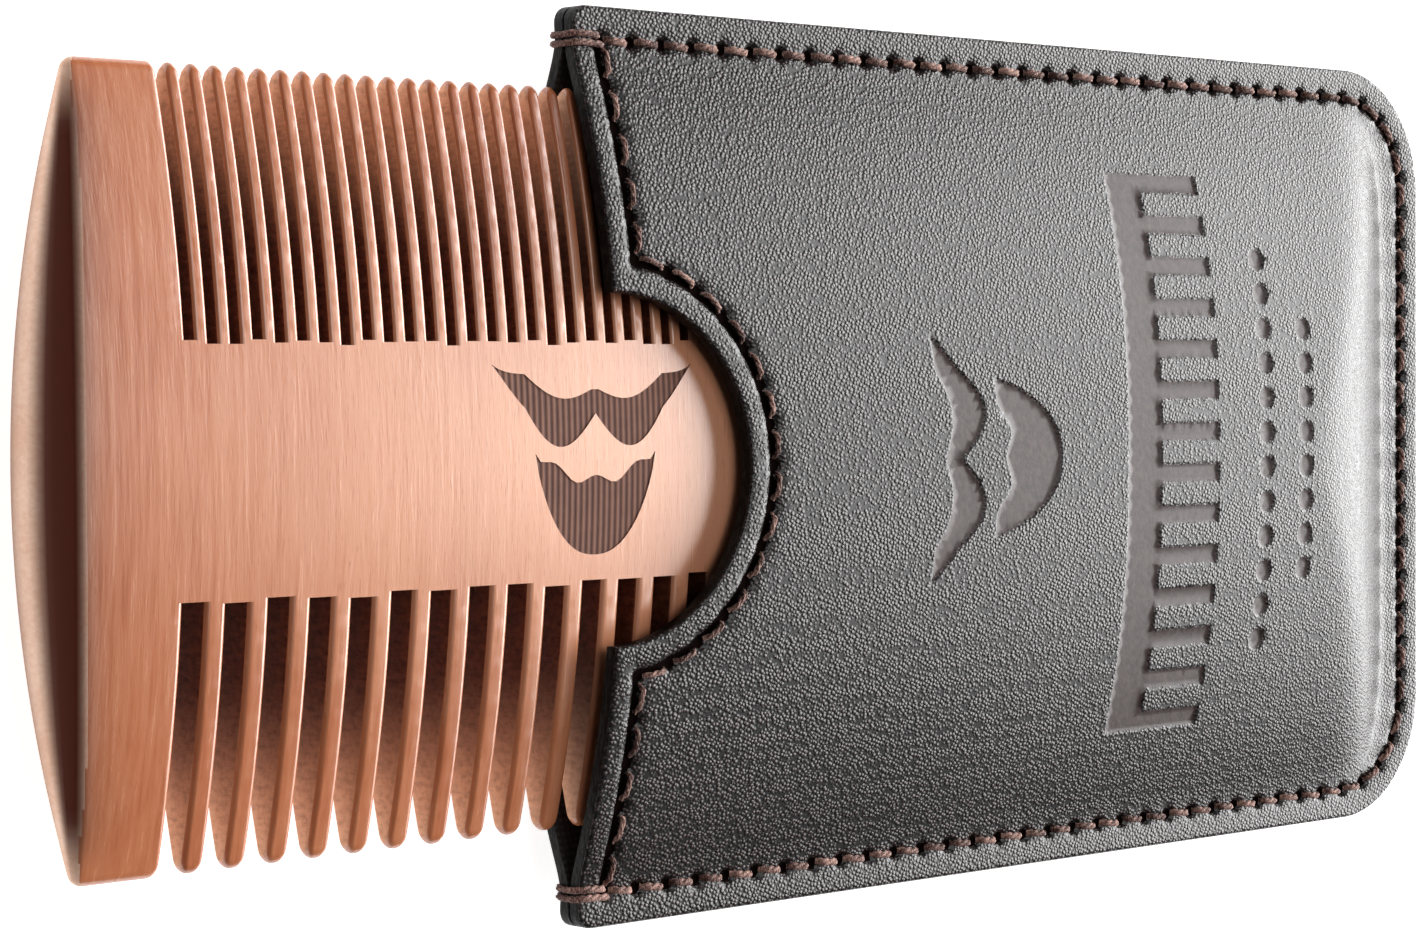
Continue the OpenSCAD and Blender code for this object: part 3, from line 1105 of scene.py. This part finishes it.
@dataclass
class Threads:
    """The twisted thread of both seams, stitch by stitch."""

    form: SleeveForm
    seams: Seams
    radius: float = 0.34
    plies: int = 3
    twist: float = 2.6
    dive: float = 0.60
    proud: float = 0.12
    gap: float = 0.17
    mouth_shift: float = 0.27
    slant: float = 0.11
    dive_run: float = 0.24
    sides: int = 7

    def rope(self, heap: Heap, path: Array, radius: float, start: float) -> None:
        """Twists plies round a path and adds them to a heap.

        Args:
            heap: Where the plies go.
            path: Points of the middle line, in the frame.
            radius: Radius of the whole thread.
            start: Angle of the first ply at the start, in radians.
        """
        run = np.gradient(path, axis=0)
        run /= np.linalg.norm(run, axis=1)[:, None]
        length = np.concatenate([[0], np.cumsum(np.linalg.norm(np.diff(path, axis=0), axis=1))])
        up = np.array([0.0, 0.0, 1.0])
        side = np.cross(run, up)
        weak = np.linalg.norm(side, axis=1) < 0.2
        side[weak] = np.cross(run[weak], [0.0, 1.0, 0.0])
        side /= np.linalg.norm(side, axis=1)[:, None]
        over = np.cross(side, run)
        ply = radius * 0.56
        turn = np.linspace(0, 2 * math.pi, self.sides, endpoint=False)
        for k in range(self.plies):
            angle = start + 2 * math.pi * k / self.plies + length * self.twist
            middle = path + (radius - ply) * (np.cos(angle)[:, None] * side + np.sin(angle)[:, None] * over)
            rings = [middle[i] + ply * (np.cos(turn)[:, None] * side[i] + np.sin(turn)[:, None] * over[i])
                     for i in range(len(path))]
            heap.add(*loft(rings))

    def surface(self, points: Array, side: Side, inner: bool) -> Array:
        """Gives the height above the seam plane of a panel's outer or inner face."""
        lift = 0.0 if inner else self.form.panel
        return side.value * (self.form.pocket(points[:, 0], points[:, 1], side) + lift)

    def stitch(self, heap: Heap, first: Array, last: Array, side: Side, inner: bool, number: int,
               shift: float) -> None:
        """Adds one stitch, which comes up out of one hole and goes down into the next."""
        t = np.linspace(0, 1, 15)
        along = last[:2] - first[:2]
        across = np.array([-along[1], along[0]]) / np.linalg.norm(along)
        slant = self.slant * (0.5 - t) * 2 + 0.04 * math.sin(number * 2.7) + shift
        flat = first[:2] + (self.gap + (1 - 2 * self.gap) * t)[:, None] * along + slant[:, None] * across
        ends = np.minimum(t, 1 - t)
        lift = self.proud - self.dive * (1 - ease(ends / self.dive_run)) + 0.05 * math.sin(number * 1.9)
        facing = -side.value if inner else side.value
        if inner:
            lift = lift * 0.5 - 0.08
        height = self.surface(flat, side, inner) + facing * lift
        radius = self.radius * (0.72 if inner or shift else 1.0)
        self.rope(heap, self.form.placed(flat, height), radius, number * 1.3)

    def wrap(self, heap: Heap, sign: int, side: Side) -> None:
        """Adds the back-tack that runs over the mouth's edge, two turns side by side."""
        form = self.form
        seam_y = sign * (form.half_width - form.seam_inset)
        for k, shift in enumerate((-0.36, 0.36)):
            turn = np.radians(np.linspace(0, 90, 7))
            over = np.column_stack([0.75 - 1.05 * np.sin(turn), (form.panel + 0.22) * np.cos(turn) ** 0.6])
            top = np.column_stack([np.linspace(3.0 - 0.5 * k, 0.9, 7), np.full(7, form.panel + 0.22)])
            top[0, 1] -= 0.5
            path = np.vstack([top, over])
            y = seam_y + shift + 0.12 * np.sin(np.linspace(0, 3, len(path)))
            height = side.value * path[:, 1]
            flat = np.column_stack([path[:, 0], y])
            self.rope(heap, form.placed(flat, height), self.radius * 0.92, 0.7 * k)

    def piece(self, name: str, heap: Heap, node: str, finish: Material) -> Piece:
        """Turns a heap of stitches into a piece on the sleeve."""
        piece = make_piece(name, heap.all_points(), heap.faces, [finish], sharp=60)
        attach(piece, Body.SLEEVE.value)
        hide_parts(node)
        return piece

    def row(self, heap: Heap, holes: Array, side: Side, inner: bool = False, shift: float = 0.0) -> None:
        """Adds the stitches between neighbouring holes, moved to their left by a shift."""
        for i in range(len(holes) - 1):
            self.stitch(heap, holes[i], holes[i + 1], side, inner, i, shift)

    def build(self) -> list[Piece]:
        """Makes the four groups of stitches."""
        finish = WaxedThread().make()
        pieces = []
        for side, name in ((Side.FRONT, "perimeter_top_thread"), (Side.BACK, "perimeter_bobbin_thread")):
            heap = Heap()
            self.row(heap, self.seams.perimeter(), side)
            for sign in (1, -1):
                self.wrap(heap, sign, side)
            pieces.append(self.piece(name.replace("_thread", "_stitches"), heap, name, finish))
        for inner, name in ((False, "mouth_top_thread"), (True, "mouth_bobbin_thread")):
            heap = Heap()
            for holes, turn in zip(self.seams.mouth_rows(), (-1, 1, 1)):
                reach = np.abs(holes[:, 1]) < (self.form.half_width - self.form.margin if inner else 99)
                self.row(heap, holes[reach], Side.FRONT, inner, 0.0 if inner else turn * self.mouth_shift)
            pieces.append(self.piece(name.replace("_thread", "_stitches"), heap, name, finish))
        return pieces


# ---- panels -------------------------------------------------------------------------------------


@dataclass
class Panel:
    """One panel of the sleeve: outer leather, stiffener and lining, cut to one outline."""

    form: SleeveForm
    seams: Seams
    side: Side
    seam_groove: float = 0.14
    groove_reach: float = 0.75
    mouth_groove: float = 0.40
    pit_depth: float = 0.52
    pit_size: tuple[float, float] = (0.62, 0.58)
    pit_reach: float = 1.6
    # Faces this deep in a needle hole or the slit get the painted shade.
    pit_shade_from: float = 0.42
    deepest: float = 0.50
    edge_roll: float = 0.24
    press_depth: float = 0.20
    press_wall: float = 0.28
    press_finish_from: float = 0.45
    fine_step: float = 0.8
    fine_gap: float = 0.13
    coarse_step: float = 2.0
    coarse_gap: float = 0.5

    @property
    def notched(self) -> bool:
        """Says whether this panel has the thumb notch."""
        return self.side is Side.FRONT

    def emblem(self) -> list[Array]:
        """Draws the marks pressed into the front cover, which read with the mouth at the top."""
        if not self.notched:
            return []
        marks = [(moustache(23.0), 39.0), (beard(14.5, 9.4), 43.0), (comb_mark(52.0, 13.0, 13), 68.0)]
        for count, x in ((12, 81.6), (8, 87.6)):
            marks += [(bead, x) for bead in bead_row(count, 3.3, 1.15)]
        return [np.column_stack([x - mark[:, 1], mark[:, 0]]) for mark, x in marks]

    def holes(self) -> Array:
        """Gives every needle hole in this panel's outer face."""
        rows = [self.seams.perimeter()]
        if self.notched:
            rows += self.seams.mouth_rows()
        return np.vstack(rows)

    def fine_points(self) -> list[Array]:
        """Gives the points that the outer face needs for its edges, seams, holes and marks."""
        form, inset = self.form, self.form.seam_inset
        groups = []
        for mark in self.emblem():
            loop = refined(mark, 0.5)
            groups += [loop, grown(loop, -self.press_wall), grown(loop, 0.12)]
        holes = self.holes()
        for radius, count in ((0.0, 1), (0.28, 6), (0.52, 12), (0.80, 12)):
            turn = np.linspace(0, 2 * math.pi, count, endpoint=False)
            spot = radius * np.column_stack([np.cos(turn), np.sin(turn)])
            groups.append((holes[:, None, :2] + spot[None]).reshape(-1, 2))
        for move in (0.05, 0.13, 0.24, 0.42, 0.7):
            groups.append(form.ring(move, 0.6, self.notched))
        for move in (-0.50, 0.06, -0.36, -0.08, -0.22, -1.3, -0.8, 0.2, 0.45, 0.8, 1.3, 1.9):
            groups.append(form.ring(inset + move, 0.4, self.notched))
        groups.append(self.grid(self.fine_step))
        return groups

    def grid(self, step: float) -> Array:
        """Gives an even grid of staggered points over the panel."""
        x, y = np.meshgrid(np.arange(step, self.form.length, step),
                           np.arange(-self.form.half_width + step, self.form.half_width, step))
        x = x + (np.arange(x.shape[0]) % 2)[:, None] * step / 2
        return np.column_stack([x.ravel(), y.ravel()])

    def triangulated(self, groups: list[Array], outline: Array, gap: float) -> tuple[Array, list[list[int]]]:
        """Covers the outline with triangles through all the points that aren't too close together.

        Args:
            groups: Points in order of importance.
            outline: The closed loop round them.
            gap: Least distance from each point to an earlier one.

        Returns:
            The flat points and the triangles.
        """
        taken = {(round(x / gap), round(y / gap)) for x, y in outline}
        kept = list(map(tuple, outline))
        inside = [g[self.form.edge_distance(g, self.notched) > gap * 0.45] for g in groups]
        for x, y in np.vstack(inside):
            key = (round(x / gap), round(y / gap))
            if key not in taken:
                taken.add(key)
                kept.append((x, y))
        size = len(outline)
        ring = [(i, (i + 1) % size) for i in range(size)]
        found = delaunay_2d_cdt([Vector(p) for p in kept], ring, [], 0, 1e-6, False)
        points, faces = np.array([tuple(p) for p in found[0]]), np.array([tuple(f) for f in found[2]])
        inner = self.form.edge_distance(points[faces].mean(axis=1), self.notched) > -1e-4
        return points, faces[inner].tolist()

    def detail(self, points: Array) -> tuple[Array, Array, Array]:
        """Works out the small relief of the outer face.

        Args:
            points: Flat points of the face.

        Returns:
            How far each point is sunk, how much of a hole it is, and how much it is pressed.
        """
        form = self.form
        edge = form.edge_distance(points, self.notched)
        roll = np.clip(1 - edge / self.edge_roll, 0, 1)
        sunk = self.edge_roll * 0.8 * (1 - np.sqrt(1 - roll ** 2))
        plain = form.edge_distance(points, False)
        past_mouth = points[:, 0] > form.seam_inset + 1.2
        from_side = form.half_width - np.abs(points[:, 1])
        line_gap = np.abs(np.where(past_mouth, plain, from_side) - form.seam_inset)
        if self.notched:
            in_reach = from_side > form.seam_inset - 0.3
            line_gap = np.minimum(line_gap, np.where(in_reach, np.abs(edge - form.seam_inset), 9.0))
        sunk += self.seam_groove * np.exp(-(line_gap / self.groove_reach) ** 2)
        pit = self.slit(points) if self.notched else np.zeros(len(points))
        sunk += self.mouth_groove * pit
        length, width = self.pit_size
        for x, y, dx, dy in self.holes():
            near = np.hypot(points[:, 0] - x, points[:, 1] - y) < self.pit_reach
            run = (points[near, 0] - x) * dx + (points[near, 1] - y) * dy
            off = (points[near, 1] - y) * dx - (points[near, 0] - x) * dy
            hole = np.exp(-((run / length) ** 2 + (off / width) ** 2) ** 1.5)
            sunk[near] += self.pit_depth * hole
            pit[near] = np.maximum(pit[near], hole)
        press = np.zeros(len(points))
        for mark in self.emblem():
            box = (np.abs(points - mark.mean(0)) < np.ptp(mark, axis=0) + 2).all(axis=1)
            press[box] = np.maximum(press[box], ease(inside_distance(points[box], mark) / self.press_wall))
        sunk += self.press_depth * press
        return np.minimum(sunk, self.deepest), pit, press

    def slit(self, points: Array) -> Array:
        """Gives how deep points are in the slit that the mouth's thread has pulled open beside itself."""
        form = self.form
        from_mouth = np.minimum(points[:, 0], np.hypot(points[:, 0], points[:, 1]) - form.notch)
        between = np.abs(points[:, 1]) < form.half_width - form.seam_inset
        return np.exp(-((from_mouth - form.seam_inset + 0.22) / 0.30) ** 4) * between

    def sheet(self, name: str, node: str, low: float, high: float, fine: bool,
              finishes: Sequence[Material], slot: Slot) -> Piece:
        """Makes one layer of the panel as a closed curved sheet.

        Args:
            name: Name of the piece.
            node: The CAD node that it replaces.
            low: Height of its inner face above the pocket.
            high: Height of its outer face above the pocket.
            fine: Whether the outer face carries the relief of the cover.
            finishes: Materials of the face, the cut edge, the back, the painted shade of the holes and the
                stamped marks.
            slot: Material slot of the record; not used.

        Returns:
            The new piece.
        """
        form, sign = self.form, self.side.value
        outline = form.ring(0.0, 0.6, self.notched)
        coarse = [form.ring(0.5, 1.2, self.notched), form.ring(form.seam_inset, 1.4, self.notched),
                  self.grid(self.coarse_step)]
        groups, gap = (self.fine_points(), self.fine_gap) if fine else (coarse, self.coarse_gap)
        outer, outer_faces = self.triangulated(groups, outline, gap)
        inner, inner_faces = self.triangulated(coarse, outline, self.coarse_gap)
        outer_z = form.pocket(outer[:, 0], outer[:, 1], self.side) + high
        inner_z = form.pocket(inner[:, 0], inner[:, 1], self.side) + low
        which = np.zeros(len(outer_faces), int)
        if fine:
            sunk, pit, press = self.detail(outer)
            outer_z -= sunk
            corners = np.array(outer_faces)
            which[press[corners].mean(axis=1) > self.press_finish_from] = 4
            # Faces deep in the needle holes and the slit get the near-black painted shade.
            which[pit[corners].mean(axis=1) > self.pit_shade_from] = 3
        elif low == 0.0:
            edge = form.edge_distance(inner, self.notched)
            inner_z += 0.12 * np.clip(1 - edge / 0.5, 0, 1) ** 2 * (edge < 0.5)
        border = self.border(outer_faces)
        lookup = {self.key(p): i for i, p in enumerate(inner)}
        partner = {i: lookup[self.key(outer[i])] + len(outer) for edge in border for i in edge}
        faces = outer_faces + [[i + len(outer) for i in f[::-1]] for f in inner_faces]
        walls = [[b, a, partner[a], partner[b]] for a, b in border]
        which = [*which, *[2] * len(inner_faces), *[1] * len(walls)]
        faces += walls
        if sign < 0:
            faces = [f[::-1] for f in faces]
        points = np.vstack([form.placed(outer, sign * outer_z), form.placed(inner, sign * inner_z)])
        piece = make_piece(name, points, faces, finishes, which, sharp=50)
        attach(piece, Body.SLEEVE.value)
        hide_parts(node)
        return piece

    @staticmethod
    def key(point: Array) -> tuple[int, int]:
        """Gives a whole-number key for a flat point."""
        return round(float(point[0]) * 1e4), round(float(point[1]) * 1e4)

    @staticmethod
    def border(faces: list[list[int]]) -> list[tuple[int, int]]:
        """Gives the directed edges that only one triangle uses."""
        edges = {(f[i], f[(i + 1) % 3]) for f in faces for i in range(3)}
        return [e for e in edges if (e[1], e[0]) not in edges]

    def build(self) -> list[Piece]:
        """Makes the three layers of the panel."""
        word = self.side.name.lower()
        paint, lining, board = EdgePaint().make(), PocketLining().make(), StiffBoard().make()
        cover = [PebbleLeather().make(), paint, board, NeedleHoleShade().make(), PressedLeather().make()]
        layers = (("leather", "cover", cover, Slot.LEATHER),
                  ("stiffener", "core", [board, paint, board], Slot.BOARD),
                  ("pocket_lining", "lining", [board, paint, lining], Slot.LINING))
        return [self.sheet(f"{word}_{name}", f"{word}_{layer}", *self.form.layers[layer], layer == "cover",
                           finishes, slot)
                for name, layer, finishes, slot in layers]


# ---- studio -------------------------------------------------------------------------------------


@dataclass
class Studio:
    """Floor, soft light and camera."""

    distance: float = 294.7
    tilt: float = 42.5
    swing: float = -2.35
    roll: float = 0.32
    lens: float = 88.5
    past_mouth: float = 16.0
    floor_reach: float = 3000.0
    box_place: Colour = (-0.10, 0.15, 0.88)
    box_aim: Colour = (-0.02, 0.0, 0.0)
    box_side: float = 0.6
    box_power: float = 3.0
    sky: tuple[float, float] = (0.05, 12.0)
    sky_reach: tuple[float, float] = (0.812, 1.0)
    bright_way: Colour = (0.936, 0.098, 0.342)

    def camera(self, form: SleeveForm) -> None:
        """Puts the camera at the viewing distance from a point of the sleeve's seam plane."""
        aim = Vector((form.mouth_x + self.past_mouth, 0.0, form.seam_z))
        tilt, swing = math.radians(self.tilt), math.radians(self.swing)
        look = Vector((math.sin(tilt) * math.cos(swing), math.sin(tilt) * math.sin(swing), -math.cos(tilt)))
        right = look.cross(Vector((0, 1, 0))).normalized()
        up = right.cross(look)
        turn = Matrix((right, up, -look)).transposed() @ Matrix.Rotation(-math.radians(self.roll), 3, "Z")
        data = bpy.data.cameras.new("camera")
        data.lens = self.lens
        data.clip_start = 0.01
        data.clip_end = 20.0
        camera = bpy.data.objects.new("camera", data)
        camera.matrix_world = Matrix.Translation((aim - self.distance * look) * MM) @ turn.to_4x4()
        bpy.context.scene.collection.objects.link(camera)
        bpy.context.scene.camera = camera

    def lamp(self, name: str, place: Colour, target: Colour, size: tuple[float, float], power: float) -> None:
        """Hangs one soft box.

        Args:
            name: Name of the light.
            place: Where it hangs, in metres.
            target: What it points at, in metres.
            size: Width and height in metres.
            power: Power in watts.
        """
        data = bpy.data.lights.new(name, "AREA")
        data.shape = "RECTANGLE"
        data.size, data.size_y = size
        data.energy = power
        lamp = bpy.data.objects.new(name, data)
        run = Vector(target) - Vector(place)
        lamp.matrix_world = Matrix.Translation(place) @ run.to_track_quat("-Z", "Y").to_matrix().to_4x4()
        bpy.context.scene.collection.objects.link(lamp)

    def build(self, form: SleeveForm) -> None:
        """Sets up the floor, the light and the camera."""
        self.camera(form)
        floor_z = CAD_BOX[0][2] / MM
        reach = self.floor_reach
        corners = np.array([(-reach, -reach, floor_z), (reach, -reach, floor_z),
                            (reach, reach, floor_z), (-reach, reach, floor_z)])
        make_piece("floor", corners, [[0, 1, 2, 3]], [StudioFloor().make()])
        self.light()
        bpy.context.scene.view_settings.view_transform = "Standard"
        self.lamp("top_box", self.box_place, self.box_aim, (self.box_side, self.box_side), self.box_power)

    def light(self) -> None:
        """Makes the sky, which is dim behind the viewer and bright in one broad soft patch."""
        world = bpy.data.worlds.new("studio")
        world.use_nodes = True
        tree = world.node_tree
        way = tree.nodes.new("ShaderNodeTexCoord").outputs["Generated"]
        towards = tree.nodes.new("ShaderNodeVectorMath")
        towards.operation = "DOT_PRODUCT"
        towards.inputs[1].default_value = self.bright_way
        tree.links.new(way, towards.inputs[0])
        strength = tree.nodes.new("ShaderNodeMapRange")
        strength.interpolation_type = "SMOOTHSTEP"
        for key, value in zip(("From Min", "From Max", "To Min", "To Max"), (*self.sky_reach, *self.sky)):
            strength.inputs[key].default_value = value
        tree.links.new(towards.outputs["Value"], strength.inputs["Value"])
        tree.links.new(strength.outputs[0], tree.nodes["Background"].inputs["Strength"])
        tree.nodes["Background"].inputs["Color"].default_value = (1.0, 1.0, 1.0, 1.0)
        bpy.context.scene.world = world


def main() -> None:
    """Builds every sub-assembly in order and reports its pieces."""
    logging.basicConfig(level=logging.INFO, format="%(name)s: %(message)s")
    form = SleeveForm()
    seams = Seams(form)
    Studio().build(form)
    makers = (Comb(), Panel(form, seams, Side.FRONT), Panel(form, seams, Side.BACK), Threads(form, seams))
    for maker in makers:
        for piece in maker.build():
            LOG.info("%s: %d faces", piece.name, len(piece.data.polygons))


if __name__ == "__main__":
    main()
